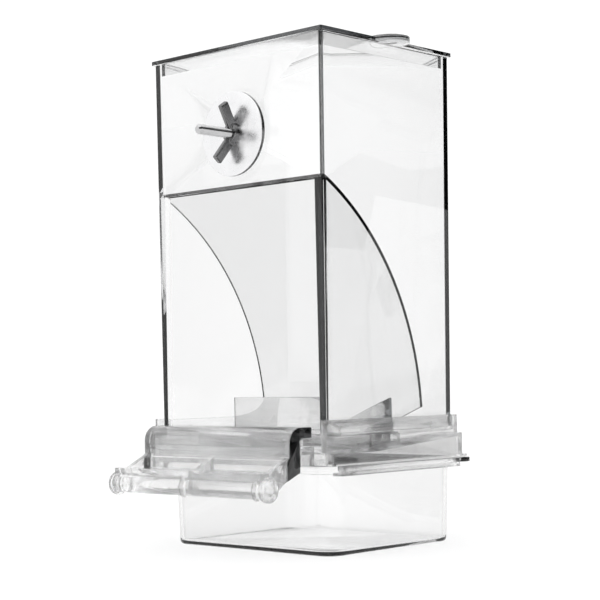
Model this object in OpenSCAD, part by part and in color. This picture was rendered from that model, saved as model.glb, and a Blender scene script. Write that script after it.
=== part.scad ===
// Gravity seed feeder that clamps to the wires of a cage.
// Origin: on the floor, under the middle of the hopper.  +Z up, the open feeding side faces -Y.

/* [Hopper] */
// Outer width of the hopper at its rim
hopper_w = 93.6; // [80:0.2:120]
// Outer depth of the hopper at its rim
hopper_d = 77.6; // [66:0.2:100]
// Height of the hopper from its foot to its rim
hopper_h = 151.3; // [120:0.1:220]
// How much each side wall leans in from rim to foot
side_lean = 1.65; // [0.4:0.05:3]
// How much the front and back walls lean in from rim to foot
end_lean = 0.85; // [0.2:0.05:2]
// Wall thickness of the hopper
hopper_wall = 2; // [1.4:0.1:3]
// Outer radius of the hopper's upright corners
hopper_corner_r = 0.9; // [0.5:0.1:3]
// Inner radius of the hopper's upright corners
hopper_inner_r = 0.4; // [0.2:0.1:2]
// Height of the front wall above the feeding opening
front_wall_h = 55.4; // [40:0.1:90]
// Width of the thickened front edges beside the feeding opening, at the hopper's foot
edge_bead_w = 2.9; // [2.2:0.1:6]
// Width of the same edges where they meet the front wall
edge_bead_top_w = 4.2; // [2.2:0.1:8]
// Depth of the thickened front edges
edge_bead_d = 2.6; // [1.5:0.1:6]

/* [Curved seed baffle] */
// Radius of the baffle's upper face
baffle_r = 111; // [95:1:160]
// Sheet thickness of the baffle
baffle_t = 1.5; // [1:0.1:3]
// Height of the baffle's lower edge above the hopper's foot
baffle_foot_h = 8.5; // [4:0.5:20]
// Clear passage for seed between the baffle's lower edge and the back wall
chute_depth = 15.4; // [8:0.2:24]

/* [Lid] */
// Thickness of the lid plate
lid_t = 1.6; // [1.2:0.1:3]
// How far the lid plate stands out past the hopper's rim
lid_overhang = 1.1; // [0.4:0.1:3]
// Depth of the skirt that drops inside the hopper
lid_skirt_h = 5; // [2:0.5:12]
// Thickness of the lid skirt
lid_skirt_t = 1.5; // [1:0.1:3]
// Radius of the round thumb tab
tab_r = 8.4; // [6:0.2:14]
// How far the tab's middle stands outside the hopper's rim
tab_out = 0.8; // [0:0.1:4]
// Thickness of the thumb tab
tab_t = 2.2; // [1.7:0.1:4]

/* [Base frame] */
// Wall thickness of the collar round the hopper's foot
collar_wall = 1.6; // [1.2:0.1:3]
// Height of the collar's rim above the frame's underside
collar_h = 17; // [15:0.5:30]
// Height of the ledge that carries the hopper above the frame's underside
ledge_h = 12.2; // [10.5:0.1:15]
// Inward width of that ledge
ledge_w = 1.9; // [1.2:0.1:2.5]
// Thickness of that ledge
ledge_t = 1.2; // [0.8:0.1:2]
// Wall thickness of the skirt below the trough floor
skirt_wall = 1.8; // [1.2:0.1:3]
// How far the skirt's inner face stands outside the collar's outer face
skirt_step = 0.4; // [0.2:0.1:2]
// How far the skirt's back wall stands behind the collar
skirt_back_step = 0.2; // [0:0.1:2]
// How far the side walls run forward of the hopper's foot
cheek_run = 3.2; // [2:0.1:8]
// How far the side walls' free ends stand forward of the skirt's front wall
cheek_free = 2.6; // [0.5:0.1:3]
// Height of the trough floor's low line above the frame's underside
floor_h = 5.8; // [4:0.1:7]
// Thickness of the trough floor
floor_t = 1.6; // [1.2:0.1:3]
// Fall of the seed trough from back to front, in degrees
floor_fall = 4.2; // [2:0.1:5.5]
// Depth, front to back, of the husk slot in the floor
husk_slot_d = 9; // [6:0.2:12]
// Distance of the husk slot's ends from the collar's inner faces
slot_inset = 2.9; // [2:0.1:12]
// Distance of the sill's back face in front of the middle
sill_offset = 12.7; // [7:0.1:16]
// How far the sill's top lies below the hopper's foot
sill_drop = 1.5; // [0.4:0.1:4]
// Thickness of the sill
sill_t = 1.7; // [1.2:0.1:3]
// How far the front lip stands forward of the side walls
lip_run = 5.5; // [4.5:0.1:10]
// Height of the front lip above the frame's underside
lip_h = 10.5; // [9.5:0.1:16]
// Thickness of the front lip
lip_t = 2; // [1.2:0.1:2.6]
// How far the front lip's ends stand in from the collar's inner faces
lip_inset = 5.95; // [1:0.05:14]
// Length of the four detent pads on the collar
detent_l = 11.6; // [6:0.2:16]
// Height of the detent pads
detent_h = 3; // [2:0.1:4]
// How far the detent pads stand out of the collar
detent_d = 0.6; // [0.3:0.1:1.2]
// Distance of the pads' middles below the collar's rim
detent_drop = 3.9; // [2.5:0.1:5]
// Distance of the pads' middles from the hopper's front and back faces
detent_inset = 10.95; // [8:0.05:20]

/* [Drawer rails] */
// Outward width of the frame's foot flange and rail
rail_out = 1.5; // [1:0.1:3]
// Thickness of the rail's upright web
rail_web = 1.4; // [1:0.1:3]
// Thickness of the rail's lower shelf
rail_shelf_t = 1.2; // [1:0.1:2]
// Inward reach of the rail's lower shelf
rail_reach = 4.3; // [3:0.1:6]
// Height of the foot flange above the frame's underside
foot_h = 1; // [0.6:0.1:2]
// How far the rails' ends stand in from the skirt's back face, and as far at the front
rail_inset = 4; // [2:0.1:10]
// How far the foot flange stands out at the back
foot_back_out = 1; // [0.5:0.1:2]

/* [Seed gate] */
// Thickness of the seed gate plate
gate_t = 1.3; // [1:0.1:2.5]
// Height of the seed gate above the trough floor
gate_h = 18; // [10:0.5:26]
// Distance of the gate's front face behind the middle
gate_offset = 0.6; // [0:0.1:6]
// How far the rib behind the gate and the cleats before it end below the hopper's foot
rib_drop = 0.4; // [0.3:0.1:3]
// Thickness of the rib
rib_t = 1.7; // [1.2:0.1:3]
// Width of a cleat
cleat_w = 4; // [3:0.5:12]
// Thickness of a cleat
cleat_t = 1.2; // [1:0.1:3]

/* [Catch drawer] */
// Height of the drawer
drawer_h = 33.9; // [24:0.1:60]
// How far the drawer's front stands behind the front of the frame's skirt
drawer_front_inset = 2.75; // [0:0.05:8]
// How far the drawer's back stands out behind the frame's skirt
drawer_back_out = 0.57; // [0:0.01:3]
// How much narrower the drawer is at its floor, on each side
drawer_lean_x = 1.1; // [0:0.1:4]
// How much shallower the drawer is at its floor, at each end
drawer_lean_y = 0.8; // [0:0.1:4]
// Wall and floor thickness of the drawer
drawer_wall = 1.5; // [1.2:0.1:3]
// Radius of the drawer's upright corners
drawer_corner_r = 8.5; // [4:0.5:14]
// Rounding of the drawer's bottom edge
drawer_foot_r = 1.4; // [0.5:0.1:2.5]
// Thickness of the drawer's runner flanges and of its rear pull lip
runner_t = 1.8; // [1.2:0.1:2.4]
// Corner radius of the runner flanges
runner_corner_r = 2; // [1:0.5:3]
// Height of the band round the drawer's rim
band_h = 3; // [2:0.1:6]
// How far the band stands out
band_out = 0.6; // [0.3:0.1:0.8]
// How far the rear pull lip stands out behind the drawer
pull_run = 4.6; // [3:0.2:14]
// Corner radius of the pull lip
pull_corner_r = 6; // [3:0.5:8]

/* [Perch] */
// How far the bracket stands past the front lip at each end
perch_over = 0.7; // [-4:0.1:4]
// Thickness of the bracket's top flange
hook_t = 4; // [2.5:0.1:5]
// How far the flange reaches in past the front ends of the side walls
flange_reach = 0.6; // [0:0.1:2]
// Thickness of the bracket's front skirt
apron_t = 5.8; // [5:0.1:7]
// Outer bend radius of the bracket
bend_r = 6; // [3:0.1:7]
// Inner bend radius of the bracket
bend_inner_r = 1.6; // [0.6:0.1:2]
// Drop of the skirt's step below the flange's top
step_drop = 12.2; // [8:0.1:16]
// Drop of the skirt's foot below the flange's top
apron_drop = 19.7; // [16:0.1:26]
// How far the skirt's foot stands out at the step
step_out = 1.3; // [0.5:0.1:3]
// Rise of the skirt's foot from front to back
foot_rise = 3; // [0:0.1:5]
// Drop of the two hook tabs behind the lip
hook_tab_h = 3; // [1.5:0.1:5]
// Thickness of the hook tabs
hook_tab_t = 1.8; // [1:0.1:2.4]
// Length of each hook tab
hook_tab_l = 18; // [8:1:26]
// Distance of the hook tabs' outer ends from the bracket's ends
hook_tab_inset = 9.2; // [2:0.1:14]
// Diameter of the perch bar
bar_d = 7; // [5:0.1:9]
// Distance of the bar's axis in front of the bracket's skirt
bar_run = 12.7; // [9:0.1:30]
// Distance of the bar's axis below the bracket's top
bar_drop = 22; // [18:0.1:30]
// How far the bar runs past the bracket before each button
bar_over = 0.4; // [0.2:0.1:10]
// Diameter of the buttons at the bar's ends
button_d = 9.2; // [8:0.1:14]
// Thickness of the buttons
button_t = 1.7; // [1:0.1:4]
// Diameter of the dimple in each button
dimple_d = 5; // [3:0.1:7]
// Depth of the dimples
dimple_depth = 0.8; // [0.3:0.1:0.9]
// Width of the grip rail above the bar
grip_w = 5.6; // [4:0.1:8]
// Thickness of the grip rail
grip_t = 2.6; // [1.5:0.1:4]
// How far the grip rail's edges lap down beside the bar
grip_lap = 0.8; // [0.4:0.1:2]
// Thickness of the three arms
arm_t = 2.4; // [1.5:0.1:3]
// Distance of the outer arms' middles from the bracket's ends
arm_inset = 1.6; // [1.5:0.1:14]
// Wall of the clip at the end of each arm
clip_wall = 1.3; // [0.8:0.1:2.5]
// Height on the clip, in degrees from its lowest point, at which the arm's lower edge leaves it
clip_angle = 50; // [20:5:80]
// How much narrower than the bar the clip's mouth is
clip_grip = 1; // [0.2:0.1:2]

/* [Clamp screw] */
// Nominal diameter of the clamp bolt
bolt_d = 4; // [3:0.5:6]
// Height of the bolt above the lower edge of the front wall
bolt_rise = 21.4; // [18:0.1:34]
// How far the bolt stands out of the front wall
bolt_out = 20.4; // [14:0.1:40]
// Diameter of the bolt's head
head_d = 8; // [6.5:0.1:14]
// Height of the bolt's head
head_h = 2.8; // [2:0.1:5]
// Length of the two crossed slots in the head
recess_l = 5; // [3:0.1:6]
// Width of those slots
recess_w = 1.2; // [0.6:0.1:2]
// Depth of those slots
recess_depth = 1.4; // [0.6:0.1:1.8]
// Diameter of the washer under the head
inner_washer_d = 12; // [9:0.5:24]
// Thickness of the washer under the head
inner_washer_t = 1; // [0.8:0.1:2]
// Diameter of the fender washer that presses on the cage wires
fender_d = 33.6; // [20:0.2:42]
// Thickness of the fender washer
fender_t = 1.6; // [1:0.1:3]
// Diameter of the wing nut's hub at its foot
hub_d = 9.2; // [8:0.1:16]
// Diameter of the hub at its nose
hub_nose_d = 7; // [6.5:0.1:12]
// Height of the hub
hub_h = 3.4; // [3:0.1:8]
// Span of the wings, tip to tip
wing_span = 24.4; // [18:0.2:34]
// How far the wing tips stand above the hub's foot
wing_rise = 9.6; // [6:0.1:14]
// Width of a wing
wing_w = 4.2; // [3:0.1:6]
// Thickness of a wing
wing_t = 2.2; // [1.4:0.1:4]
// Turn of the wings from upright at rest
wing_turn = 10; // [0:1:90]

/* [Fits] */
// Gap between the hopper's foot and the collar
hopper_fit = 0.25; // [0.1:0.05:0.6]
// Gap between the lid skirt and the hopper
lid_fit = 0.35; // [0.2:0.05:0.8]
// Gap between the drawer and the frame, and above and below its runners
drawer_fit = 0.4; // [0.3:0.05:1]
// Gap between the drawer's band and the rails' shelves
drawer_side_fit = 0.55; // [0.3:0.05:1.5]
// Gap between the baffle or gate and the walls beside them
sheet_fit = 0.1; // [0.05:0.05:0.4]
// Gap between the perch hook and the front lip
hook_fit = 0.3; // [0.2:0.05:0.8]
// Radial gap between the perch bar and its clips
bar_fit = 0.05; // [0.02:0.01:0.2]
// Radial gap between the bolt and the wing nut
thread_fit = 0.05; // [0.02:0.01:0.1]
// Radial gap between the bolt and the holes it passes through
bolt_clear = 0.25; // [0.1:0.05:0.5]
// Gap between pieces that touch flat face to flat face across a joint
face_gap = 0.05; // [0.02:0.01:0.2]

/* [Hidden] */
$fn = 72;
CLEAR = [0.86, 0.91, 0.93, 0.35];
STEEL = [0.78, 0.79, 0.80];
cut = 1;              // how far a cutter runs past what it cuts, or a wall into the next one
far = 400;            // length of a cutter that runs right through
slice = 0.01;         // thickness of the slices that a hull joins

// Levels, from the floor up
frame_z = drawer_h + drawer_fit;
ledge_z = frame_z + ledge_h;
collar_z = frame_z + collar_h;
rim_z = ledge_z + hopper_h;
front_wall_z = rim_z - front_wall_h;
bolt_z = front_wall_z + bolt_rise;
floor_z = frame_z + floor_h;
lip_z = frame_z + lip_h;

// Half sizes of the hopper at its foot
foot_x = hopper_w / 2 - side_lean;
foot_y = hopper_d / 2 - end_lean;
function lean_at(z, lean) = lean * (z - ledge_z) / hopper_h;
function hopper_x(z) = foot_x + lean_at(z, side_lean);
function hopper_y(z) = foot_y + lean_at(z, end_lean);

// Frame plan: collar, skirt and the front ends of the side walls
collar_in_x = hopper_x(collar_z) + hopper_fit;
collar_in_y = hopper_y(collar_z) + hopper_fit;
collar_x = collar_in_x + collar_wall;
collar_y = collar_in_y + collar_wall;
skirt_in_x = collar_x + skirt_step;
skirt_in_y = collar_y + skirt_back_step - skirt_wall;
skirt_x = skirt_in_x + skirt_wall;
skirt_y = skirt_in_y + skirt_wall;
front_y = -foot_y - cheek_run;
skirt_front_y = front_y + cheek_free;
lip_y = front_y - lip_run;
lip_half_w = collar_in_x - lip_inset;

// Trough floor: a flat valley with the husk slot, rising to the back and to the lip
sill_y = -sill_offset - sill_t;
valley_y = sill_y - husk_slot_d;
function floor_top(y) = floor_z + max(0, y + sill_offset) * tan(floor_fall);
deck_top_z = lip_z - hook_tab_h - hook_fit;
gate_half_w = foot_x - hopper_wall - 3 * sheet_fit;

// Rails and the drawer that runs in them
rail_x = skirt_x + rail_out;
rail_h = rail_shelf_t + runner_t + 2 * drawer_fit;
rail_half_l = skirt_y - rail_inset;
runner_x = rail_x - rail_web - drawer_fit;
runner_z = frame_z - rail_h + rail_shelf_t + drawer_fit;
drawer_half_w = rail_x - rail_reach - drawer_side_fit - band_out;
drawer_front_y = skirt_front_y + drawer_front_inset;
drawer_back_y = skirt_y + drawer_back_out;
pull_y = drawer_back_y + pull_run;

// Perch
perch_half_w = lip_half_w + perch_over;
bar_half_l = perch_half_w + bar_over;
flange_z = lip_z + face_gap + hook_t;
apron_back_y = lip_y - hook_fit;
apron_y = apron_back_y - apron_t;
lip_edge_r = bend_inner_r - hook_fit;
flange_tip_y = front_y + flange_reach;
bar_y = apron_y - bar_run;
bar_z = flange_z - bar_drop;
bar_bore_r = bar_d / 2 + bar_fit;
grip_z = bar_z + bar_bore_r;

// Clamp screw: places along -Y
wall_front_y = -hopper_y(bolt_z + fender_d / 2);
wall_back_y = -hopper_y(bolt_z - inner_washer_d / 2) + hopper_wall;
fender_y = wall_front_y - face_gap;
nut_y = fender_y - fender_t - face_gap;
bolt_tip_y = wall_front_y - bolt_out;
inner_washer_y = wall_back_y + face_gap;
head_y = inner_washer_y + inner_washer_t;

// ---------- shared shapes ----------

// A rectangle from (-hx, y0) to (hx, y1) with round corners
module round_rect(hx, y0, y1, r) {
    translate([-hx + r, y0]) square([2 * (hx - r), y1 - y0]);
    translate([-hx, y0 + r]) square([2 * hx, y1 - y0 - 2 * r]);
    for (x = [-hx + r, hx - r], y = [y0 + r, y1 - r]) translate([x, y]) circle(r);
}

// A flat outline of (y, z) points, extruded along X from x0 to x1
module side_profile(x0, x1) {
    translate([x0, 0, 0]) rotate([90, 0, 90]) linear_extrude(x1 - x0) children();
}

// The hopper's leaning box between two heights, moved inwards by inset
module hopper_block(z0, z1, inset, r) {
    hull() for (z = [z0, z1 - slice]) {
        hx = hopper_x(z) - inset;
        hy = hopper_y(z) - inset;
        translate([0, 0, z]) linear_extrude(slice) round_rect(hx, -hy, hy, r, $fn = 32);
    }
}

// A disc with a hole, its axis along Y, from y0 to y1
module ring_y(y0, y1, d, hole_d) {
    translate([0, y1, bolt_z]) rotate([90, 0, 0]) linear_extrude(y1 - y0) difference() {
        circle(d = d);
        circle(d = hole_d);
    }
}

// ---------- base frame ----------

// Side view of all that lies under the shoulder between skirt and collar
module under_shoulder() {
    polygon([[front_y, frame_z], [front_y, floor_z], [-sill_offset, floor_z],
             [skirt_y, floor_top(skirt_y)], [skirt_y, frame_z]]);
}

module skirt_ring() {
    intersection() {
        translate([0, 0, frame_z]) linear_extrude(collar_h) difference() {
            round_rect(skirt_x, front_y, skirt_y, hopper_corner_r);
            round_rect(skirt_in_x, skirt_front_y + skirt_wall, skirt_in_y, hopper_inner_r);
            translate([-skirt_in_x, front_y - cut]) square([2 * skirt_in_x, cheek_free + cut]);
        }
        side_profile(-skirt_x, skirt_x) under_shoulder();
    }
}

module trough_floor() {
    difference() {
        intersection() {
            translate([0, 0, frame_z]) linear_extrude(collar_h)
                round_rect(skirt_x, front_y, skirt_y, hopper_corner_r);
            side_profile(-skirt_x, skirt_x) difference() {
                under_shoulder();
                translate([0, -floor_t]) under_shoulder();
                translate([front_y - cut, frame_z - floor_t - cut]) square([far, floor_t + cut]);
            }
        }
        // The husk slot and the bay of the front deck
        slot_x = collar_in_x - slot_inset;
        translate([-slot_x, skirt_front_y + skirt_wall, frame_z])
            cube([2 * slot_x, sill_y - skirt_front_y - skirt_wall, collar_h]);
        // The side walls' ends stand free in front of the skirt
        translate([-skirt_in_x, front_y - cut, frame_z])
            cube([2 * skirt_in_x, cheek_free + cut, collar_h]);
    }
}

// Deck that slopes from the lip down to the husk slot, with its cheeks and the lip
module front_deck() {
    side_profile(-collar_in_x, collar_in_x)
        polygon([[skirt_front_y, deck_top_z], [valley_y, floor_z],
                 [valley_y, floor_z - floor_t], [skirt_front_y, floor_z - floor_t]]);
    side_profile(-lip_half_w, lip_half_w) {
        polygon([[lip_y, frame_z], [lip_y, lip_z - lip_edge_r], [lip_y + lip_edge_r, lip_z],
                 [lip_y + lip_t, lip_z], [lip_y + lip_t, deck_top_z],
                 [skirt_front_y + cut, deck_top_z], [skirt_front_y + cut, floor_z - floor_t],
                 [lip_y + lip_t, floor_z - floor_t], [lip_y + lip_t, frame_z]]);
        // Rounded outer edge of the lip, inside the bracket's bend
        intersection() {
            translate([lip_y + lip_edge_r, lip_z - lip_edge_r]) circle(lip_edge_r);
            translate([lip_y, lip_z - lip_edge_r]) square(lip_edge_r);
        }
    }
    for (x = [-lip_half_w, lip_half_w - lip_t])
        translate([x, lip_y, frame_z])
            cube([lip_t, skirt_front_y + cut - lip_y, deck_top_z - frame_z]);
}

module collar() {
    difference() {
        translate([0, 0, floor_z - floor_t / 2]) linear_extrude(collar_z - floor_z + floor_t / 2)
            difference() {
                round_rect(collar_x, front_y, collar_y, hopper_corner_r);
                round_rect(collar_in_x, front_y - far, collar_in_y, hopper_inner_r);
            }
        // Nothing of the collar shows under the floor
        side_profile(-far, far) translate([0, -floor_t / 2]) under_shoulder();
    }
}

module hopper_ledge() {
    translate([0, 0, ledge_z - ledge_t]) linear_extrude(ledge_t) difference() {
        round_rect(collar_in_x + collar_wall / 2, -foot_y, collar_in_y + collar_wall / 2,
                   hopper_corner_r);
        translate([-collar_in_x + ledge_w, -far])
            square([2 * (collar_in_x - ledge_w), far + collar_in_y - ledge_w]);
    }
}

// The sill behind the husk slot, and the rib and cleats that the gate stands between
module sill_and_rib() {
    full = 2 * collar_in_x + collar_wall;
    rib_y = gate_offset + gate_t + sheet_fit;
    foot = floor_z - floor_t / 2;
    rib_h = ledge_z - rib_drop - foot;
    translate([-full / 2, sill_y, foot]) cube([full, sill_t, ledge_z - sill_drop - foot]);
    translate([-full / 2, rib_y, foot]) cube([full, rib_t, rib_h]);
    for (x = [-gate_half_w, gate_half_w - cleat_w])
        translate([x, gate_offset - sheet_fit - cleat_t, foot]) cube([cleat_w, cleat_t, rib_h]);
}

// A channel under each side that carries the drawer's runner
module rails() {
    for (side = [0, 1]) mirror([side, 0, 0]) {
        translate([skirt_in_x, -rail_half_l, frame_z - rail_h]) difference() {
            cube([rail_x - skirt_in_x, 2 * rail_half_l, rail_h + foot_h]);
            translate([-cut, -cut, rail_shelf_t])
                cube([rail_x - rail_web - skirt_in_x + cut, far, rail_h - rail_shelf_t]);
        }
        translate([rail_x - rail_reach, -rail_half_l, frame_z - rail_h])
            cube([rail_reach, 2 * rail_half_l, rail_shelf_t]);
    }
    // Foot flange right round the back and both sides
    translate([0, 0, frame_z]) linear_extrude(foot_h) difference() {
        round_rect(rail_x, front_y, skirt_y + foot_back_out, hopper_corner_r);
        round_rect(skirt_in_x, front_y - far, skirt_in_y, hopper_inner_r);
    }
}

// Small raised pads on the collar, opposite the hopper's foot
module detents() {
    y = foot_y - detent_inset;
    for (side = [-1, 1], end = [-1, 1])
        translate([side * collar_x, end * y, collar_z - detent_drop]) rotate([0, 90, 0]) {
            for (cap = [-1, 1]) translate([0, cap * (detent_l - detent_h) / 2, 0])
                cylinder(d = detent_h, h = 2 * detent_d, center = true);
            cube([detent_h, detent_l - detent_h, 2 * detent_d], center = true);
        }
}

module base_frame() {
    color(CLEAR) union() {
        skirt_ring();
        trough_floor();
        front_deck();
        collar();
        hopper_ledge();
        sill_and_rib();
        rails();
        detents();
    }
}

// The upright plate that holds the seed back, standing between its cleats
module seed_gate() {
    z = floor_top(gate_offset + gate_t) + face_gap;
    color(CLEAR) translate([-gate_half_w, gate_offset, z]) cube([2 * gate_half_w, gate_t, gate_h]);
}

// ---------- catch drawer ----------

// The drawer's leaning round-cornered block, moved inwards by inset, from z0 up
module drawer_block(inset, z0, top) {
    r = drawer_foot_r;
    // Height and inset of each slice: round the bottom edge, then straight up to the top
    levels = [for (a = [0, 45, 90]) [z0 + r * (1 - cos(a)), inset + r * (1 - sin(a))], [top, inset]];
    hull() for (level = levels) {
        in = level[1];
        lean = 1 - level[0] / drawer_h;
        hx = drawer_half_w - drawer_lean_x * lean - in;
        y0 = drawer_front_y + drawer_lean_y * lean + in;
        y1 = drawer_back_y - drawer_lean_y * lean - in;
        translate([0, 0, level[0]]) linear_extrude(slice)
            round_rect(hx, y0, y1, drawer_corner_r - in, $fn = 48);
    }
}

// The drawer's outline at its rim, moved outwards by grow
module drawer_outline(grow) {
    round_rect(drawer_half_w + grow, drawer_front_y - grow, drawer_back_y + grow,
               drawer_corner_r + grow);
}

module drawer_band() {
    translate([0, 0, drawer_h - band_h]) linear_extrude(band_h) difference() {
        drawer_outline(band_out);
        drawer_outline(-drawer_wall / 2);
    }
}

// Runner flanges at both sides and the rear pull lip
module drawer_runners() {
    translate([0, 0, runner_z]) linear_extrude(runner_t) difference() {
        union() {
            round_rect(runner_x, drawer_front_y + drawer_corner_r / 2, drawer_back_y, runner_corner_r);
            // The pull lip, as wide as the rails, starts behind their ends
            round_rect(rail_x, rail_half_l + drawer_fit, pull_y, min(pull_corner_r, pull_run - drawer_fit));
        }
        drawer_outline(-drawer_wall / 2);
    }
}

module catch_drawer() {
    color(CLEAR) {
        difference() {
            union() {
                drawer_block(0, 0, drawer_h - slice);
                drawer_band();
            }
            drawer_block(drawer_wall, drawer_wall, drawer_h + cut);
        }
        drawer_runners();
    }
}

// ---------- hopper ----------

module edge_beads() {
    intersection() {
        hopper_block(ledge_z, front_wall_z, 0, hopper_corner_r);
        for (side = [0, 1]) mirror([side, 0, 0])
            rotate([90, 0, 0]) translate([0, 0, foot_y - edge_bead_d])
                linear_extrude(edge_bead_d + end_lean + cut)
                    polygon([[foot_x - edge_bead_w, ledge_z], [far, ledge_z], [far, front_wall_z],
                             [hopper_x(front_wall_z) - edge_bead_top_w, front_wall_z]]);
    }
}

module hopper_shell() {
    color(CLEAR) difference() {
        union() {
            difference() {
                hopper_block(ledge_z, rim_z, 0, hopper_corner_r);
                hopper_block(ledge_z - cut, rim_z + cut, hopper_wall, hopper_inner_r);
                // Feeding opening below the front wall
                translate([-far / 2, -far, ledge_z - cut])
                    cube([far, far - foot_y + edge_bead_d, front_wall_z - ledge_z + cut]);
            }
            edge_beads();
        }
        translate([0, 0, bolt_z]) rotate([90, 0, 0])
            cylinder(r = bolt_d / 2 + bolt_clear, h = far / 2);
    }
}

// Curved sheet from the front wall's lower edge down towards the back wall
module seed_baffle() {
    top_y = -hopper_y(front_wall_z) + hopper_wall;
    top_z = front_wall_z + baffle_t;
    foot_z = ledge_z + baffle_foot_h;
    end_y = hopper_y(foot_z) - hopper_wall - chute_depth;
    // Centre of the arc through the two ends of the upper face
    chord = [end_y - top_y, foot_z - top_z];
    half = norm(chord) / 2;
    back = sqrt(baffle_r * baffle_r - half * half) / (2 * half);
    centre = [(top_y + end_y) / 2 + chord[1] * back, (top_z + foot_z) / 2 - chord[0] * back];
    bead_x = hopper_x(front_wall_z) - edge_bead_top_w - sheet_fit;
    bead_y = -foot_y + edge_bead_d + sheet_fit;
    color(CLEAR) difference() {
        intersection() {
            side_profile(-hopper_w, hopper_w) difference() {
                translate(centre) circle(baffle_r, $fn = 144);
                translate(centre) circle(baffle_r - baffle_t, $fn = 144);
                translate([-far, -far]) square([2 * far, far + foot_z]);
            }
            hopper_block(ledge_z, rim_z, hopper_wall + sheet_fit, hopper_inner_r);
        }
        // Notches that clear the thickened front edges
        for (side = [0, 1]) mirror([side, 0, 0])
            translate([bead_x, -far, ledge_z])
                cube([far, far + bead_y, front_wall_z + sheet_fit - ledge_z]);
    }
}

// ---------- lid ----------

module lid() {
    hx = hopper_w / 2;
    hy = hopper_d / 2;
    in_x = hopper_x(rim_z - lid_skirt_h) - hopper_wall - lid_fit;
    in_y = hopper_y(rim_z - lid_skirt_h) - hopper_wall - lid_fit;
    z = rim_z + face_gap;
    color(CLEAR) union() {
        translate([0, 0, z]) linear_extrude(lid_t)
            round_rect(hx + lid_overhang, -hy - lid_overhang, hy + lid_overhang, hopper_corner_r);
        translate([hx + tab_out, 0, z]) cylinder(r = tab_r, h = tab_t);
        translate([0, 0, z - lid_skirt_h]) linear_extrude(lid_skirt_h + lid_t / 2) difference() {
            round_rect(in_x, -in_y, in_y, hopper_corner_r);
            round_rect(in_x - lid_skirt_t, -in_y + lid_skirt_t, in_y - lid_skirt_t, hopper_inner_r);
        }
    }
}

// ---------- perch ----------

// Side view of the hook and its skirt
module hook_outline() {
    difference() {
        union() {
            translate([apron_y, flange_z - step_drop - cut])
                square([apron_t, step_drop - bend_r + cut]);
            translate([apron_y + bend_r, flange_z - bend_r]) circle(bend_r);
            translate([apron_y + bend_r, flange_z - hook_t])
                square([flange_tip_y - apron_y - bend_r, hook_t]);
            translate([apron_y + bend_r, flange_z - bend_r - bend_inner_r])
                square([apron_back_y + bend_inner_r - apron_y - bend_r, bend_r + bend_inner_r]);
            polygon([[apron_y, flange_z - step_drop + step_out], [apron_y - step_out, flange_z - step_drop],
                     [apron_y - step_out, flange_z - apron_drop],
                     [apron_back_y, flange_z - apron_drop + foot_rise],
                     [apron_back_y, flange_z - step_drop]]);
        }
        translate([apron_back_y + bend_inner_r, flange_z - hook_t - bend_inner_r]) circle(bend_inner_r);
        translate([apron_back_y, flange_z - hook_t - 2 * bend_r - bend_inner_r])
            square([far, 2 * bend_r]);
        translate([apron_back_y + bend_inner_r, flange_z - hook_t - bend_r]) square([far, bend_r]);
    }
}

// Side view of one arm and the clip round the bar
module arm_outline() {
    top = flange_z - step_drop + step_out;
    foot = flange_z - apron_drop;
    root = apron_y + cut;
    clip_r = bar_bore_r + clip_wall;
    mouth = bar_d - clip_grip;
    difference() {
        union() {
            translate([bar_y, bar_z]) circle(clip_r);
            polygon([[root, top], [apron_y, top], [bar_y + grip_w / 2, grip_z + grip_t], [bar_y, grip_z],
                     [bar_y, bar_z], [bar_y + clip_r * sin(clip_angle), bar_z - clip_r * cos(clip_angle)],
                     [apron_y - step_out, foot], [root, foot + foot_rise]]);
        }
        translate([bar_y, bar_z]) circle(bar_bore_r);
        translate([bar_y - mouth / 2, bar_z - far]) square([mouth, far]);
    }
}

module perch_bracket() {
    arm_x = perch_half_w - arm_inset;
    tab_x = perch_half_w - hook_tab_inset - hook_tab_l / 2;
    grip_half_l = bar_half_l - face_gap;
    color(CLEAR) union() {
        side_profile(-perch_half_w, perch_half_w) hook_outline();
        for (x = [-arm_x, 0, arm_x]) side_profile(x - arm_t / 2, x + arm_t / 2) arm_outline();
        // Grip rail that lies along the top of the bar
        side_profile(-grip_half_l, grip_half_l) difference() {
            translate([bar_y - grip_w / 2, grip_z - grip_lap]) square([grip_w, grip_t + grip_lap]);
            translate([bar_y, bar_z]) circle(bar_bore_r);
        }
        for (x = [-tab_x, tab_x])
            translate([x - hook_tab_l / 2, lip_y + lip_t + hook_fit, flange_z - hook_t - hook_tab_h])
                cube([hook_tab_l, hook_tab_t, hook_tab_h + hook_t / 2]);
    }
}

module perch_bar() {
    color(CLEAR) translate([0, bar_y, bar_z]) rotate([0, 90, 0]) difference() {
        union() {
            cylinder(d = bar_d, h = 2 * bar_half_l, center = true);
            for (side = [0, 1]) mirror([0, 0, side])
                translate([0, 0, bar_half_l]) cylinder(d = button_d, h = button_t);
        }
        for (side = [0, 1]) mirror([0, 0, side])
            translate([0, 0, bar_half_l + button_t - dimple_depth])
                cylinder(d = dimple_d, h = cut + dimple_depth);
    }
}

// ---------- clamp screw ----------

module clamp_bolt() {
    color(STEEL) difference() {
        union() {
            ring_y(bolt_tip_y, head_y + head_h / 2, bolt_d, 0);
            translate([0, head_y, bolt_z]) rotate([-90, 0, 0]) intersection() {
                cylinder(d = head_d, h = head_h);
                translate([0, 0, head_h - head_d]) sphere(d = 2 * head_d);
            }
        }
        // Cross recess in the head
        for (turn = [0, 90]) translate([0, head_y + head_h, bolt_z]) rotate([0, turn, 0])
            cube([recess_l, 2 * recess_depth, recess_w], center = true);
    }
}

module inner_washer() {
    color(STEEL) ring_y(inner_washer_y, head_y - face_gap, inner_washer_d, bolt_d + 2 * bolt_clear);
}

module fender_washer() {
    color(STEEL) ring_y(fender_y - fender_t, fender_y, fender_d, bolt_d + 2 * bolt_clear);
}

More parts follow.
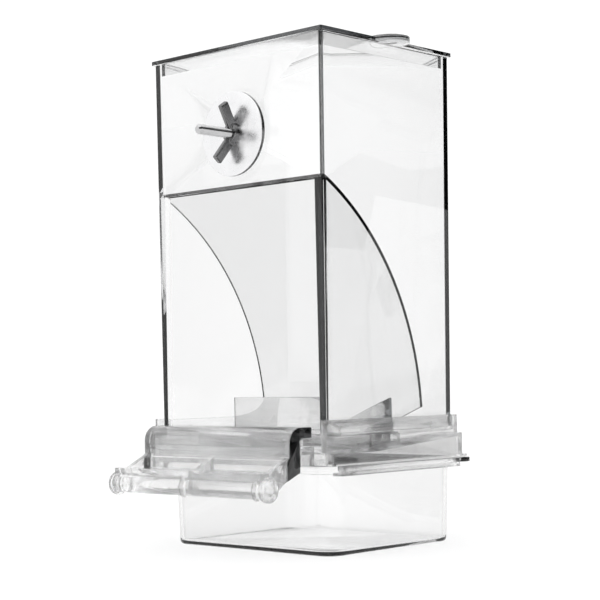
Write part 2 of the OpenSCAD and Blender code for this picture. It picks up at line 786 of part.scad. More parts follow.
// One flared wing, drawn in the plane of the bolt's axis and extruded across it
module wing() {
    root = [hub_nose_d / 2 - wing_w / 4, wing_w / 2];
    tip = [wing_span / 2 - wing_w / 2, wing_rise - wing_w / 2];
    run = tip - root;
    angle = atan2(run[1], run[0]);
    rotate([90, 0, 0]) translate([0, 0, -wing_t / 2]) linear_extrude(wing_t) difference() {
        union() {
            translate(root) rotate(angle) translate([0, -wing_w / 2]) square([norm(run), wing_w]);
            translate(tip) circle(d = wing_w);
            translate(root) circle(d = wing_w);
        }
        translate([-far, -far]) square([2 * far, far]);
        translate([-far, -far]) square([far + root[0], 2 * far]);
    }
}

module wing_nut() {
    color(STEEL) translate([0, nut_y, bolt_z]) rotate([0, wing_turn, 0]) rotate([90, 0, 0])
        difference() {
            union() {
                cylinder(d1 = hub_d, d2 = hub_nose_d, h = hub_h);
                for (side = [0, 180]) rotate([0, 0, 90 + side]) wing();
            }
            translate([0, 0, -cut]) cylinder(r = bolt_d / 2 + thread_fit, h = hub_h + wing_rise);
        }
}

base_frame();
seed_gate();
catch_drawer();
hopper_shell();
seed_baffle();
lid();
perch_bracket();
perch_bar();
clamp_bolt();
inner_washer();
fender_washer();
wing_nut();
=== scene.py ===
"""Clear clamp-on seed feeder: its finished pieces, materials and stage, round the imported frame."""

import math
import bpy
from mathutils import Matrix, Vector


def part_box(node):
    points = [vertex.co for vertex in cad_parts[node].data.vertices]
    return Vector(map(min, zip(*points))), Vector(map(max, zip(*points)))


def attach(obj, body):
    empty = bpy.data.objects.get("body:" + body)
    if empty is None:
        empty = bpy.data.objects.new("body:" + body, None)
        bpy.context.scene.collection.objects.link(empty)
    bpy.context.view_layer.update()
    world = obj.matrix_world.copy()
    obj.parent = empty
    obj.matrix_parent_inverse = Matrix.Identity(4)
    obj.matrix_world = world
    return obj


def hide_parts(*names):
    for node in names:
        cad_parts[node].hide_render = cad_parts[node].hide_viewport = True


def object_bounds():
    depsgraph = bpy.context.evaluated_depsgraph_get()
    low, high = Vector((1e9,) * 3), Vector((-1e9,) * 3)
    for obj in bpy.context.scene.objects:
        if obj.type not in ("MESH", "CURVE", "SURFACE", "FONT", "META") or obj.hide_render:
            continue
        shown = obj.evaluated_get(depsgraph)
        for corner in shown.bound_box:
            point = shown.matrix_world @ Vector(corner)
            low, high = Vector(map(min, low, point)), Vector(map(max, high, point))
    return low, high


bl_info = {
    "name": "Clear Seed Feeder",
    "version": (1, 0, 0),
    "blender": (4, 5, 0),
    "location": "View3D > Sidebar > Feeder",
    "description": "Builds the clear mouldings, the clamp screw and the stage of a clamp-on seed feeder",
    "category": "Object",
}

import bpy
from mathutils import Matrix, Vector

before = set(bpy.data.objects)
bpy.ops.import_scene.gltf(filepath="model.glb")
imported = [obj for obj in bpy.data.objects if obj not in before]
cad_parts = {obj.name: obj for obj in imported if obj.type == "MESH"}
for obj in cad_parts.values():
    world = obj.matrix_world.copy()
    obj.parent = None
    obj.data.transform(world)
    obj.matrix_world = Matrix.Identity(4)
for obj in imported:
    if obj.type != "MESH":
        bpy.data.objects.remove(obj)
CAD_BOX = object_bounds()

MM = 0.001
# Points closer than this are one point
WELD = 0.002 * MM
# The floor lies this far under the feeder, so that no two faces share a plane
FLOOR_GAP = 0.05 * MM


# ---------- sizes and colours ----------


class FeederPlastic(bpy.types.PropertyGroup):
    """Clear moulded plastic"""

    ior: bpy.props.FloatProperty(
        name="IOR", description="How strongly the plastic bends light", default=1.5, min=1.0, max=2.0)
    tint: bpy.props.FloatVectorProperty(
        name="Tint", description="Colour left after light has run a long way inside",
        default=(0.64, 0.65, 0.66), size=3, subtype="COLOR", min=0, max=1)
    depth: bpy.props.FloatProperty(
        name="Depth", description="How fast the plastic darkens with depth, per metre", default=36.0, min=0)
    edge: bpy.props.FloatProperty(
        name="Edge radius", description="Rounding of moulded edges", default=0.25 * MM, unit="LENGTH", min=0)
    haze: bpy.props.FloatProperty(
        name="Haze", description="Roughness of a clean polished face", default=0.015, min=0, max=1)
    sheet_wave: bpy.props.FloatProperty(
        name="Wall waves", description="Height of the slow waves in the walls",
        default=0.02 * MM, unit="LENGTH")
    thick_wave: bpy.props.FloatProperty(
        name="Thick waves", description="Height of the sink waves in the thick perch mouldings",
        default=0.10 * MM, unit="LENGTH")


class FeederSteel(bpy.types.PropertyGroup):
    """Bright steel of the clamp screw"""

    thread_pitch: bpy.props.FloatProperty(
        name="Thread pitch", description="Advance of the thread in one turn", default=0.7 * MM, unit="LENGTH")
    thread_depth: bpy.props.FloatProperty(
        name="Thread depth", description="Depth of the thread", default=0.3 * MM, unit="LENGTH")
    edge: bpy.props.FloatProperty(
        name="Edge radius", description="Rounding of stamped and cast edges", default=0.3 * MM, unit="LENGTH")


class FeederStage(bpy.types.PropertyGroup):
    """Floor, light and camera"""

    camera_place: bpy.props.FloatVectorProperty(
        name="Camera", description="Where the camera stands", default=(0.437833, -0.470085, 0.068462),
        size=3, subtype="TRANSLATION", unit="LENGTH")
    camera_yaw: bpy.props.FloatProperty(
        name="Yaw", description="Turn of the camera from +Y towards -X",
        default=math.radians(43.132), subtype="ANGLE")
    camera_pitch: bpy.props.FloatProperty(
        name="Pitch", description="Tilt of the camera upwards", default=math.radians(2.729), subtype="ANGLE")
    camera_roll: bpy.props.FloatProperty(
        name="Roll", description="Roll of the camera", default=math.radians(-0.999), subtype="ANGLE")
    lens: bpy.props.FloatProperty(
        name="Lens", description="Focal length in millimetres", default=93.862, min=1)
    floor_size: bpy.props.FloatProperty(
        name="Floor", description="Side of the pale floor", default=60.0, unit="LENGTH")
    surround: bpy.props.FloatProperty(
        name="Surround", description="Brightness of the white surround", default=1.09, min=0)
    card: bpy.props.FloatProperty(
        name="Dark cards", description="Brightness of the dark cards beside and behind the camera",
        default=0.40, min=0)
    mirror_card: bpy.props.FloatProperty(
        name="Mirrored cards", description="Brightness of the cards where bright faces mirror them",
        default=0.02, min=0)


# ---------- small helpers ----------


def deselect_all():
    """Leaves nothing selected and nothing active."""
    for o in list(bpy.context.selected_objects):
        o.select_set(False)
    bpy.context.view_layer.objects.active = None


def pick(piece):
    """Makes piece the only selected and the active object."""
    deselect_all()
    piece.select_set(True)
    bpy.context.view_layer.objects.active = piece


def apply_modifier(piece, kind, **settings):
    """Adds a modifier with these settings to piece and applies it."""
    pick(piece)
    modifier = piece.modifiers.new(kind.title(), kind)
    for key, value in settings.items():
        setattr(modifier, key, value)
    bpy.ops.object.modifier_apply(modifier=modifier.name)


def round_edges(piece, width, segments=2, angle=30, clamp=False):
    """Rounds every edge sharper than angle."""
    apply_modifier(
        piece, "BEVEL", width=width, segments=segments, limit_method="ANGLE", angle_limit=math.radians(angle),
        use_clamp_overlap=clamp, miter_outer="MITER_ARC")


def settle(piece, smooth=35):
    """Applies the piece's place to its mesh, so that it stands at the origin, and smooths its round faces."""
    pick(piece)
    bpy.ops.object.transform_apply(location=True, rotation=True, scale=True)
    bpy.ops.object.shade_smooth_by_angle(angle=math.radians(smooth))


def recalculate(piece):
    """Turns every face outwards."""
    pick(piece)
    bpy.ops.object.mode_set(mode="EDIT")
    bpy.ops.mesh.select_all(action="SELECT")
    bpy.ops.mesh.normals_make_consistent(inside=False)
    bpy.ops.object.mode_set(mode="OBJECT")


def finish_piece(piece, node, body, material):
    """Gives a piece its material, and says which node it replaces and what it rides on."""
    piece.data.materials.clear()
    piece.data.materials.append(material)
    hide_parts(node)
    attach(piece, body)


# ---------- shader groups ----------


def new_group(name, inputs, outputs):
    """An empty shader node group with named float inputs and named outputs."""
    group = bpy.data.node_groups.new(name, "ShaderNodeTree")
    for label, default in inputs:
        socket = group.interface.new_socket(name=label, in_out="INPUT", socket_type="NodeSocketFloat")
        socket.default_value = default
    for label, kind in outputs:
        group.interface.new_socket(name=label, in_out="OUTPUT", socket_type=kind)
    return group, group.nodes.new("NodeGroupInput"), group.nodes.new("NodeGroupOutput")


def noise(tree, vector, scale, detail=2.0, rough=0.5):
    """A noise texture of this scale on vector."""
    node = tree.nodes.new("ShaderNodeTexNoise")
    node.inputs["Detail"].default_value = detail
    node.inputs["Roughness"].default_value = rough
    if isinstance(scale, float):
        node.inputs["Scale"].default_value = scale
    else:
        tree.links.new(scale, node.inputs["Scale"])
    tree.links.new(vector, node.inputs["Vector"])
    return node.outputs["Fac"]


def math_node(tree, operation, a, b=None, clamp=False):
    """A Math node; a and b are sockets or numbers."""
    node = tree.nodes.new("ShaderNodeMath")
    node.operation = operation
    node.use_clamp = clamp
    for k, value in enumerate((a, b)):
        if value is None:
            continue
        if isinstance(value, (int, float)):
            node.inputs[k].default_value = value
        else:
            tree.links.new(value, node.inputs[k])
    return node.outputs[0]


def handling_marks():
    """Roughness of a handled polished face: clean, with soft smears."""
    # Noise above this level is a smear, and this gain sets how sharp its border is
    start, gain = 0.48, 4.0
    group, put_in, put_out = new_group(
        "Handling marks",
        [("Clean", 0.02), ("Smears", 0.05), ("Scale", 30.0)],
        [("Roughness", "NodeSocketFloat")])
    place = group.nodes.new("ShaderNodeTexCoord").outputs["Object"]
    smear = noise(group, place, put_in.outputs["Scale"], 4.0, 0.6)
    lifted = math_node(group, "SUBTRACT", smear, start)
    lifted = math_node(group, "MULTIPLY", lifted, gain, clamp=True)
    added = math_node(group, "MULTIPLY", lifted, put_in.outputs["Smears"])
    total = math_node(group, "ADD", added, put_in.outputs["Clean"])
    group.links.new(total, put_out.inputs["Roughness"])
    return group


def moulding_waves():
    """Height of the slow sink waves and the fine flow lines of a moulding."""
    along_flow, across_flow = 40.0, 260.0
    group, put_in, put_out = new_group(
        "Moulding waves", [("Scale", 40.0), ("Flow", 0.15)], [("Height", "NodeSocketFloat")])
    place = group.nodes.new("ShaderNodeTexCoord").outputs["Object"]
    slow = noise(group, place, put_in.outputs["Scale"], 1.0, 0.4)
    stretch = group.nodes.new("ShaderNodeMapping")
    stretch.inputs["Scale"].default_value = (along_flow, across_flow, across_flow)
    group.links.new(place, stretch.inputs["Vector"])
    flow = noise(group, stretch.outputs["Vector"], 1.0, 2.0, 0.5)
    flow = math_node(group, "MULTIPLY", flow, put_in.outputs["Flow"])
    group.links.new(math_node(group, "ADD", slow, flow), put_out.inputs["Height"])
    return group


def group_node(tree, group, **values):
    """Places a group in a material with its own values."""
    node = tree.nodes.new("ShaderNodeGroup")
    node.node_tree = group
    for label, value in values.items():
        node.inputs[label].default_value = value
    return node


# ---------- materials ----------


def clear_plastic(name, wave, wave_scale, depth_share=1.0, body=1.0, rim=0.08, haze=1.0, thin=0.0):
    """Clear plastic that darkens with depth, and has painted shade in its colour towards its upright
    outlines.

    body is the share of light that its faces pass, rim the darker colour painted as shade at its outlines,
    and thin the share that runs through without bending. Lamp light runs straight through.
    """
    outline_power, smears, smear_scale, flow_lines, lamp_share = 2.8, 0.02, 35.0, 0.12, 0.97
    p = bpy.context.scene.feeder_plastic
    material = bpy.data.materials.new(name)
    material.use_nodes = True
    tree = material.node_tree
    tree.nodes.clear()
    out = tree.nodes.new("ShaderNodeOutputMaterial")
    solid = tree.nodes.new("ShaderNodeBsdfPrincipled")
    # Painted shade: the base colour goes from body to rim where an upright face is seen edge-on, standing in
    # for the dark lines that refraction draws at real outlines
    facing = tree.nodes.new("ShaderNodeLayerWeight").outputs["Facing"]
    upward = tree.nodes.new("ShaderNodeSeparateXYZ")
    tree.links.new(tree.nodes.new("ShaderNodeNewGeometry").outputs["Normal"], upward.inputs["Vector"])
    level = math_node(tree, "ABSOLUTE", upward.outputs["Z"])
    upright = math_node(tree, "SUBTRACT", 1.0, level, clamp=True)
    grazing_for_shade = math_node(tree, "POWER", facing, outline_power)
    painted_outline_shade = math_node(tree, "MULTIPLY", grazing_for_shade, upright, clamp=True)
    tone = tree.nodes.new("ShaderNodeMix")
    tone.data_type = "RGBA"
    tone.inputs[6].default_value = (body, body, body, 1.0)
    tone.inputs[7].default_value = (rim, rim, rim, 1.0)
    tree.links.new(painted_outline_shade, tone.inputs["Factor"])
    tree.links.new(tone.outputs[2], solid.inputs["Base Color"])
    solid.inputs["Transmission Weight"].default_value = 1.0
    solid.inputs["IOR"].default_value = p.ior
    marks = group_node(
        tree, bpy.data.node_groups["Handling marks"], Clean=p.haze * haze, Smears=smears, Scale=smear_scale)
    tree.links.new(marks.outputs["Roughness"], solid.inputs["Roughness"])
    waves = group_node(tree, bpy.data.node_groups["Moulding waves"], Scale=wave_scale, Flow=flow_lines)
    bump = tree.nodes.new("ShaderNodeBump")
    bump.inputs["Distance"].default_value = wave
    tree.links.new(waves.outputs["Height"], bump.inputs["Height"])
    tree.links.new(bump.outputs["Normal"], solid.inputs["Normal"])
    passing = tree.nodes.new("ShaderNodeBsdfTransparent")
    passing.inputs["Color"].default_value = (lamp_share, lamp_share, lamp_share, 1.0)
    ray = tree.nodes.new("ShaderNodeLightPath")
    lamp_light = math_node(tree, "MAXIMUM", ray.outputs["Is Shadow Ray"], ray.outputs["Is Diffuse Ray"])
    straight = math_node(tree, "MAXIMUM", lamp_light, thin)
    mix = tree.nodes.new("ShaderNodeMixShader")
    tree.links.new(straight, mix.inputs["Fac"])
    tree.links.new(solid.outputs["BSDF"], mix.inputs[1])
    tree.links.new(passing.outputs["BSDF"], mix.inputs[2])
    tree.links.new(mix.outputs["Shader"], out.inputs["Surface"])
    absorb = tree.nodes.new("ShaderNodeVolumeAbsorption")
    absorb.inputs["Color"].default_value = (*p.tint, 1.0)
    absorb.inputs["Density"].default_value = p.depth * depth_share
    tree.links.new(absorb.outputs["Volume"], out.inputs["Volume"])
    return material


def bright_steel(name, tone, rough, brushed):
    """Plated metal of this tone, with duller smears and a fine grain of this height."""
    patch_tone, patch_scale, smear_scale, grain_scale = 0.85, 180.0, 220.0, 2600.0
    material = bpy.data.materials.new(name)
    material.use_nodes = True
    tree = material.node_tree
    solid = tree.nodes["Principled BSDF"]
    solid.inputs["Metallic"].default_value = 1.0
    place = tree.nodes.new("ShaderNodeTexCoord").outputs["Object"]
    shade = noise(tree, place, patch_scale, 3.0)
    ramp = tree.nodes.new("ShaderNodeValToRGB")
    dull = tone * patch_tone
    ramp.color_ramp.elements[0].color = (dull, dull, tone * 0.86, 1.0)
    ramp.color_ramp.elements[1].color = (tone, tone, tone * 1.01, 1.0)
    tree.links.new(shade, ramp.inputs["Fac"])
    tree.links.new(ramp.outputs["Color"], solid.inputs["Base Color"])
    marks = group_node(
        tree, bpy.data.node_groups["Handling marks"], Clean=rough, Smears=rough, Scale=smear_scale)
    tree.links.new(marks.outputs["Roughness"], solid.inputs["Roughness"])
    grain = noise(tree, place, grain_scale, 2.0)
    bump = tree.nodes.new("ShaderNodeBump")
    bump.inputs["Distance"].default_value = brushed
    tree.links.new(grain, bump.inputs["Height"])
    tree.links.new(bump.outputs["Normal"], solid.inputs["Normal"])
    return material


def make_materials():
    """All materials of the feeder, by name."""
    p = bpy.context.scene.feeder_plastic
    handling_marks()
    moulding_waves()
    clear_plastic("Clear wall", p.sheet_wave, 22.0)
    clear_plastic("Clear base", p.sheet_wave, 30.0, 0.3, thin=0.26)
    clear_plastic("Clear drawer", p.sheet_wave, 22.0, 0.4, body=0.97)
    clear_plastic("Clear sheet", p.sheet_wave, 30.0, 1.5, body=0.90)
    clear_plastic("Clear thick", p.thick_wave, 75.0, 0.3, body=0.93, haze=4.0, thin=0.20)
    # Painted shade: near-black and grey clear plastics for edge faces that look dark only through refraction
    clear_plastic("Dark edge", p.sheet_wave, 30.0, body=0.03, rim=0.01)
    clear_plastic("Grey edge", p.sheet_wave, 30.0, body=0.30, rim=0.05)
    bright_steel("Plated steel", 0.60, 0.08, 0.003 * MM)
    # Dark zinc of the wing nut, also given to the washer's rim as painted shade
    bright_steel("Cast zinc", 0.20, 0.10, 0.006 * MM)
    bright_steel("Polished washer", 0.90, 0.24, 0.002 * MM)


# ---------- clear mouldings ----------

MOULDINGS = {
    # piece: (node, body, slot, material)
    "clear_hopper": ("hopper_shell", "hopper", "clear_body", "Clear wall"),
    "curved_baffle": ("seed_baffle", "hopper", "clear_sheet", "Clear sheet"),
    "clear_lid": ("lid", "lid", "clear_body", "Clear wall"),
    "clear_base": ("base_frame", "base", "clear_body", "Clear base"),
    "gate_plate": ("seed_gate", "base", "clear_sheet", "Clear sheet"),
    "husk_drawer": ("catch_drawer", "drawer", "clear_body", "Clear drawer"),
    "perch_hook": ("perch_bracket", "perch", "clear_perch", "Clear thick"),
    "perch_rod": ("perch_bar", "perch", "clear_perch", "Clear thick"),
}


def paint_shade_on_faces(piece, name, chosen):
    """Paints shade on the faces that chosen picks, by centre in millimetres and normal, by giving them the
    material of this name.
    """
    piece.data.materials.append(bpy.data.materials[name])
    place = len(piece.data.materials) - 1
    for face in piece.data.polygons:
        if chosen(face.center / MM, face.normal):
            face.material_index = place


def paint_edge_shade(hopper, hook, lid):
    """Gives painted shade to the moulded edges that show dark through refraction: right front bead, front
    corners, hook ends, lid rim.
    """
    # Millimetres
    bead_w, bead_d, end_depth, behind_bar = 8.5, 6.5, 0.8, 5.0
    # Limits on parts of a face's normal: at least the first three, less than the last upwards
    forward, slanted, sideways, level = 0.5, 0.25, 0.9, 0.3
    bead_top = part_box("seed_baffle")[1].z / MM
    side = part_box("hopper_shell")[1].x / MM
    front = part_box("hopper_shell")[0].y / MM
    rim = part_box("hopper_shell")[1].z / MM
    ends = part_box("perch_bracket")[1].x / MM
    bar_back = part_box("perch_bar")[1].y / MM
    paint_shade_on_faces(hopper, "Dark edge", lambda c, n: (
        c.x > side - bead_w and c.y < front + bead_d and c.z < bead_top and n.y < -forward))
    paint_shade_on_faces(hopper, "Grey edge", lambda c, n: (
        abs(n.x) > slanted and abs(n.y) > slanted and c.z > bead_top))
    paint_shade_on_faces(hook, "Dark edge", lambda c, n: (
        abs(n.x) > sideways and abs(c.x) > ends - end_depth and c.y > bar_back + behind_bar))
    paint_shade_on_faces(lid, "Grey edge", lambda c, n: abs(n.z) < level and c.z > rim)


def moulded(piece_name, edge):
    """The finished moulding of a node: its own solid, merged into whole faces, with rounded edges."""
    node, body, slot, material = MOULDINGS[piece_name]
    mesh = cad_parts[node].data.copy()
    piece = bpy.data.objects.new(piece_name, mesh)
    bpy.context.scene.collection.objects.link(piece)
    pick(piece)
    bpy.ops.mesh.customdata_custom_splitnormals_clear()
    bpy.ops.object.mode_set(mode="EDIT")
    bpy.ops.mesh.select_all(action="SELECT")
    bpy.ops.mesh.remove_doubles(threshold=WELD)
    bpy.ops.mesh.dissolve_limited(angle_limit=math.radians(0.5))
    bpy.ops.object.mode_set(mode="OBJECT")
    if edge > 0:
        round_edges(piece, edge, clamp=True)
    settle(piece)
    finish_piece(piece, node, body, bpy.data.materials[material])
    return piece


# ---------- clamp screw ----------


def bolt_axis():
    """Height of the clamp bolt's axis."""
    low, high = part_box("fender_washer")
    return (low.z + high.z) / 2


def washer(piece_name, node, body, hole_r, edge, material):
    """A stamped washer: a flat ring, thickened and rounded at its edges."""
    low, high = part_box(node)
    z = bolt_axis()
    outer_r = (high.x - low.x) / 2
    deselect_all()
    bpy.ops.mesh.primitive_circle_add(
        vertices=96, radius=outer_r, location=(0, high.y, z), rotation=(math.pi / 2, 0, 0))
    piece = bpy.context.active_object
    piece.name = piece_name
    bpy.ops.object.mode_set(mode="EDIT")
    bpy.ops.mesh.primitive_circle_add(
        vertices=96, radius=hole_r, location=(0, high.y, z), rotation=(math.pi / 2, 0, 0))
    bpy.ops.mesh.select_all(action="SELECT")
    bpy.ops.mesh.bridge_edge_loops()
    bpy.ops.mesh.select_all(action="SELECT")
    bpy.ops.mesh.extrude_region_move(TRANSFORM_OT_translate={"value": (0, low.y - high.y, 0)})
    bpy.ops.mesh.select_all(action="SELECT")
    bpy.ops.mesh.normals_make_consistent(inside=False)
    bpy.ops.object.mode_set(mode="OBJECT")
    round_edges(piece, edge, 3)
    settle(piece)
    finish_piece(piece, node, body, bpy.data.materials[material])
    # Painted shade: the polished washer's rim faces get the dark zinc, standing in for the dark reflection
    # along its edge
    shaded_rim_limit = 0.6
    if material == "Polished washer":
        paint_shade_on_faces(piece, "Cast zinc", lambda c, n: abs(n.y) < shaded_rim_limit)
    return piece


def thread_radius(along, turn, length, crest, pitch, depth):
    """Radius of the thread at a distance along the bolt from its tip and a share of a turn."""
    # Shares of the pitch taken by the flat of the root and by the flanks, and the tip's chamfer
    root, flank, tip_chamfer = 0.12, 0.7, 0.9 * MM
    phase = (along / pitch + turn) % 1.0
    ridge = 1.0 - abs(2.0 * phase - 1.0)
    ridge = min(1.0, max(0.0, (ridge - root) / flank))
    chamfer = crest - tip_chamfer + along
    return min(crest - depth * (1.0 - ridge), chamfer)


def wrapped_rod(stations, z):
    """A closed rod along Y: a grid wrapped round the bolt's axis, by pairs of a place and a radius rule."""
    sides, rows = 32, len(stations) - 1
    deselect_all()
    bpy.ops.mesh.primitive_grid_add(x_subdivisions=sides, y_subdivisions=rows, size=1)
    rod = bpy.context.active_object
    for v in rod.data.vertices:
        turn = v.co.x + 0.5
        y, radius = stations[round((v.co.y + 0.5) * rows)]
        r, a = radius(turn), 2 * math.pi * turn
        v.co = (r * math.cos(a), y, z + r * math.sin(a))
    bpy.ops.object.mode_set(mode="EDIT")
    bpy.ops.mesh.select_all(action="SELECT")
    bpy.ops.mesh.remove_doubles(threshold=WELD)
    bpy.ops.object.mode_set(mode="OBJECT")
    recalculate(rod)
    return rod


def cut_or_join(piece, tool, operation):
    """Unites tool with piece, or cuts it away, and removes the tool."""
    apply_modifier(piece, "BOOLEAN", object=tool, operation=operation, solver="EXACT")
    bpy.data.objects.remove(tool)


def clamp_bolt():
    """The bolt: a low domed head and a threaded shank with a chamfered tip."""
    p = bpy.context.scene.feeder_steel
    low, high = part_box("clamp_bolt")
    z = bolt_axis()
    head_r, head_y, crest = (high.x - low.x) / 2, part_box("inner_washer")[1].y, 2.0 * MM
    head_h, length = high.y - head_y, head_y - low.y
    rows_per_turn, dome_steps = 8, 8
    # The head's straight side and flat top, as shares of its height and radius
    straight, flat = 0.38, 0.45
    rows = int(length / p.thread_pitch * rows_per_turn)
    stations = [(low.y, lambda turn: 0.0)]
    for k in range(rows + 1):
        along = length * k / rows
        stations.append((low.y + along, lambda turn, along=along: thread_radius(
            along, turn, length, crest, p.thread_pitch, p.thread_depth)))
    stations.append((head_y, lambda turn: head_r))
    for k in range(dome_steps + 1):
        a = math.pi / 2 * k / dome_steps
        y = head_y + head_h * (straight + (1 - straight) * math.sin(a))
        stations.append((y, lambda turn, a=a: head_r * (flat + (1 - flat) * math.cos(a))))
    stations.append((high.y, lambda turn: 0.0))
    bolt = wrapped_rod(stations, z)
    bolt.name = "threaded_bolt"
    settle(bolt, 40)
    finish_piece(bolt, "clamp_bolt", "hopper", bpy.data.materials["Plated steel"])
    return bolt


def wing_nut():
    """The wing nut: a coned hub with two flared wings, cast in one with soft fillets."""
    low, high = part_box("wing_nut")
    z = bolt_axis()
    foot_y, hub_h, rise = high.y, 3.4 * MM, high.y - low.y
    hub_r, nose_r, bore_r = 4.6 * MM, 3.5 * MM, 2.05 * MM
    span, wing_w, wing_t = 24.4 * MM, 4.2 * MM, 2.2 * MM
    into_hub, wing_round, voxel, parked = 0.9 * MM, 0.55 * MM, 0.17 * MM, math.radians(10)
    # The wing's middle line stops short of its tip, as shares of its width
    short_x, short_z = 0.33, 0.36
    # Modelled with its axis up, its foot on the ground
    deselect_all()
    bpy.ops.mesh.primitive_cone_add(
        vertices=64, radius1=hub_r, radius2=nose_r, depth=hub_h, location=(0, 0, hub_h / 2))
    hub = bpy.context.active_object
    hub.name = "cast_wing_nut"
    root = Vector((nose_r - wing_w / 4, 0, wing_w / 2))
    tip = Vector((span / 2 - short_x * wing_w, 0, rise - short_z * wing_w))
    run = tip - root
    angle = math.atan2(run.z, run.x)
    for side in (0.0, math.pi):
        deselect_all()
        middle = (root + tip) / 2
        bpy.ops.mesh.primitive_cube_add(size=1, location=(0, 0, 0))
        wing = bpy.context.active_object
        wing.scale = (run.length + into_hub, wing_t, wing_w)
        bpy.ops.object.transform_apply(location=False, rotation=False, scale=True)
        round_edges(wing, wing_round, 3)
        wing.matrix_world = (
            Matrix.Rotation(side, 4, "Z") @ Matrix.Translation(middle) @ Matrix.Rotation(-angle, 4, "Y"))
        pick(wing)
        bpy.ops.object.transform_apply(location=True, rotation=True, scale=True)
        cut_or_join(hub, wing, "UNION")
    apply_modifier(hub, "REMESH", mode="VOXEL", voxel_size=voxel)
    apply_modifier(hub, "SMOOTH", factor=0.5, iterations=5)
    deselect_all()
    bpy.ops.mesh.primitive_cylinder_add(vertices=48, radius=bore_r, depth=60 * MM)
    cut_or_join(hub, bpy.context.active_object, "DIFFERENCE")
    hub.matrix_world = (
        Matrix.Translation((0, foot_y, z)) @ Matrix.Rotation(parked, 4, "Y")
        @ Matrix.Rotation(math.pi / 2, 4, "X") @ Matrix.Rotation(math.pi / 2, 4, "Z"))
    settle(hub, 50)
    finish_piece(hub, "wing_nut", "wing_nut", bpy.data.materials["Cast zinc"])
    return hub


# ---------- stage ----------


def make_floor(p):
    """The pale floor, part of the stage and not of the feeder."""
    deselect_all()
    bpy.ops.mesh.primitive_plane_add(size=p.floor_size, location=(0, 0, CAD_BOX[0].z - FLOOR_GAP))
    floor = bpy.context.active_object
    floor.name = "pale_floor"
    material = bpy.data.materials.new("Pale floor")
    material.use_nodes = True
    tree = material.node_tree
    solid = tree.nodes["Principled BSDF"]
    solid.inputs["Base Color"].default_value = (0.93, 0.93, 0.93, 1.0)
    solid.inputs["Roughness"].default_value = 0.9
    solid.inputs["Specular IOR Level"].default_value = 0.0
    floor.data.materials.append(material)


# Nearness to a card's middle at its outer and inner edge, as a cosine
SEEN_CARD = (0.84, 0.96)
MIRRORED_CARD = (0.62, 0.80)


def soft_card(tree, nearness, outer, inner, bright, dark):
    """Brightness round a dark card with a soft edge between these nearnesses to its middle."""
    card = tree.nodes.new("ShaderNodeMapRange")
    card.interpolation_type = "SMOOTHSTEP"
    for label, value in (("From Min", outer), ("From Max", inner), ("To Min", bright), ("To Max", dark)):
        card.inputs[label].default_value = value
    tree.links.new(nearness, card.inputs["Value"])
    return card.outputs["Result"]


def choose(tree, share, off, on):
    """Goes from off to on with share; on is a socket or a number."""
    mix = tree.nodes.new("ShaderNodeMix")
    tree.links.new(share, mix.inputs["Factor"])
    tree.links.new(off, mix.inputs["A"])
    if isinstance(on, float):
        mix.inputs["B"].default_value = on
    else:
        tree.links.new(on, mix.inputs["B"])
    return mix.outputs["Result"]


def make_world(p):
    """White all round, with soft-edged dark cards to the right of the object and behind the camera."""
    world = bpy.data.worlds.new("Studio")
    bpy.context.scene.world = world
    world.use_nodes = True
    tree = world.node_tree
    back = tree.nodes["Background"]
    way = tree.nodes.new("ShaderNodeTexCoord").outputs["Generated"]
    yaw = p.camera_yaw
    toward = [(math.cos(yaw), math.sin(yaw), 0.0), (math.sin(yaw), -math.cos(yaw), 0.0)]
    sides = []
    for direction in toward:
        side = tree.nodes.new("ShaderNodeVectorMath")
        side.operation = "DOT_PRODUCT"
        side.inputs[1].default_value = direction
        tree.links.new(way, side.inputs[0])
        sides.append(side.outputs["Value"])
    nearest = math_node(tree, "MAXIMUM", *sides)
    path = tree.nodes.new("ShaderNodeLightPath").outputs
    through = soft_card(tree, nearest, *SEEN_CARD, p.surround, p.card)
    mirrored = soft_card(tree, nearest, *MIRRORED_CARD, p.surround, p.mirror_card)
    around = choose(tree, path["Is Glossy Ray"], through, mirrored)
    tree.links.new(choose(tree, path["Is Camera Ray"], around, p.surround), back.inputs["Strength"])
    back.inputs["Color"].default_value = (1.0, 1.0, 1.0, 1.0)


def make_lamps():
    """One very soft lamp from above the camera's left."""
    data = bpy.data.lights.new("Soft overhead", "SUN")
    data.angle = math.radians(90)
    data.energy = 0.4
    lamp = bpy.data.objects.new("Soft overhead", data)
    lamp.rotation_euler = (math.radians(25), 0.0, math.radians(-20))
    bpy.context.scene.collection.objects.link(lamp)


def make_camera(p):
    """The camera, turned by its yaw, pitch and roll."""
    data = bpy.data.cameras.new("Camera")
    data.lens = p.lens
    data.sensor_width = 36.0
    data.clip_start = 0.01
    data.clip_end = 100.0
    camera = bpy.data.objects.new("Camera", data)
    bpy.context.scene.collection.objects.link(camera)
    yaw, pitch, roll = p.camera_yaw, p.camera_pitch, p.camera_roll
    ahead = Vector((-math.sin(yaw) * math.cos(pitch), math.cos(yaw) * math.cos(pitch), math.sin(pitch)))
    right = Vector((math.cos(yaw), math.sin(yaw), 0.0))
    up = right.cross(ahead)
    right, up = (
        math.cos(roll) * right + math.sin(roll) * up,
        math.cos(roll) * up - math.sin(roll) * right)
    turn = Matrix((right, up, -ahead)).transposed()
    camera.matrix_world = Matrix.Translation(p.camera_place) @ turn.to_4x4()
    bpy.context.scene.camera = camera


# ---------- operators ----------


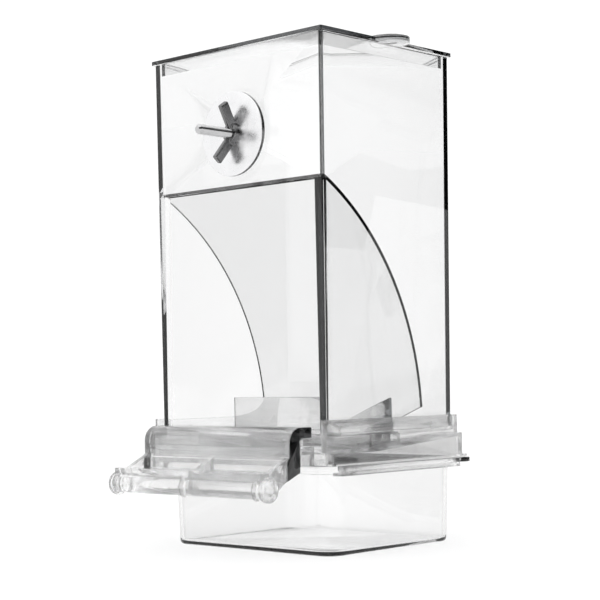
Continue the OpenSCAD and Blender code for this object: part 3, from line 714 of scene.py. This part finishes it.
class FEEDER_OT_stage(bpy.types.Operator):
    """Make the floor, the light and the camera"""

    bl_idname = "feeder.stage"
    bl_label = "Stage"

    def execute(self, context):
        p = context.scene.feeder_stage
        make_camera(p)
        make_floor(p)
        make_world(p)
        make_lamps()
        context.scene.view_settings.view_transform = "Standard"
        context.scene.cycles.max_bounces = 24
        context.scene.cycles.transmission_bounces = 24
        context.scene.cycles.transparent_max_bounces = 48
        return {"FINISHED"}


class FEEDER_OT_materials(bpy.types.Operator):
    """Make the clear plastics and the steels"""

    bl_idname = "feeder.materials"
    bl_label = "Materials"

    def execute(self, context):
        make_materials()
        return {"FINISHED"}


class FEEDER_OT_mouldings(bpy.types.Operator):
    """Finish the clear mouldings"""

    bl_idname = "feeder.mouldings"
    bl_label = "Clear mouldings"

    def execute(self, context):
        edge = context.scene.feeder_plastic.edge
        for name in MOULDINGS:
            moulded(name, 0 if name == "curved_baffle" else edge)
        paint_edge_shade(*(bpy.data.objects[name] for name in ("clear_hopper", "perch_hook", "clear_lid")))
        return {"FINISHED"}


class FEEDER_OT_washers(bpy.types.Operator):
    """Make the fender washer and the washer under the bolt's head"""

    bl_idname = "feeder.washers"
    bl_label = "Washers"

    def execute(self, context):
        edge, hole_r, thin_edge = context.scene.feeder_steel.edge, 2.25 * MM, 0.6
        washer("fender_disc", "fender_washer", "clamp_washer", hole_r, edge, "Polished washer")
        washer("head_washer", "inner_washer", "hopper", hole_r, edge * thin_edge, "Plated steel")
        return {"FINISHED"}


class FEEDER_OT_bolt(bpy.types.Operator):
    """Make the clamp bolt"""

    bl_idname = "feeder.bolt"
    bl_label = "Clamp bolt"

    def execute(self, context):
        clamp_bolt()
        return {"FINISHED"}


class FEEDER_OT_wing_nut(bpy.types.Operator):
    """Make the wing nut"""

    bl_idname = "feeder.wing_nut"
    bl_label = "Wing nut"

    def execute(self, context):
        wing_nut()
        return {"FINISHED"}


OPERATORS = (
    FEEDER_OT_stage,
    FEEDER_OT_materials,
    FEEDER_OT_mouldings,
    FEEDER_OT_washers,
    FEEDER_OT_bolt,
    FEEDER_OT_wing_nut,
)


class FEEDER_PT_panel(bpy.types.Panel):
    """Lists the feeder's operators"""

    bl_idname = "FEEDER_PT_panel"
    bl_label = "Feeder"
    bl_space_type = "VIEW_3D"
    bl_region_type = "UI"
    bl_category = "Feeder"

    def draw(self, context):
        for operator in OPERATORS:
            self.layout.operator(operator.bl_idname)


GROUPS = {"feeder_plastic": FeederPlastic, "feeder_steel": FeederSteel, "feeder_stage": FeederStage}


def register():
    for name, group in GROUPS.items():
        bpy.utils.register_class(group)
        setattr(bpy.types.Scene, name, bpy.props.PointerProperty(type=group))
    for cls in (*OPERATORS, FEEDER_PT_panel):
        bpy.utils.register_class(cls)


def unregister():
    for cls in (FEEDER_PT_panel, *reversed(OPERATORS)):
        bpy.utils.unregister_class(cls)
    for name, group in reversed(GROUPS.items()):
        delattr(bpy.types.Scene, name)
        bpy.utils.unregister_class(group)


def main():
    register()
    bpy.ops.feeder.stage()
    bpy.ops.feeder.materials()
    bpy.ops.feeder.mouldings()
    bpy.ops.feeder.washers()
    bpy.ops.feeder.bolt()
    bpy.ops.feeder.wing_nut()
    deselect_all()


if __name__ == "__main__":
    main()
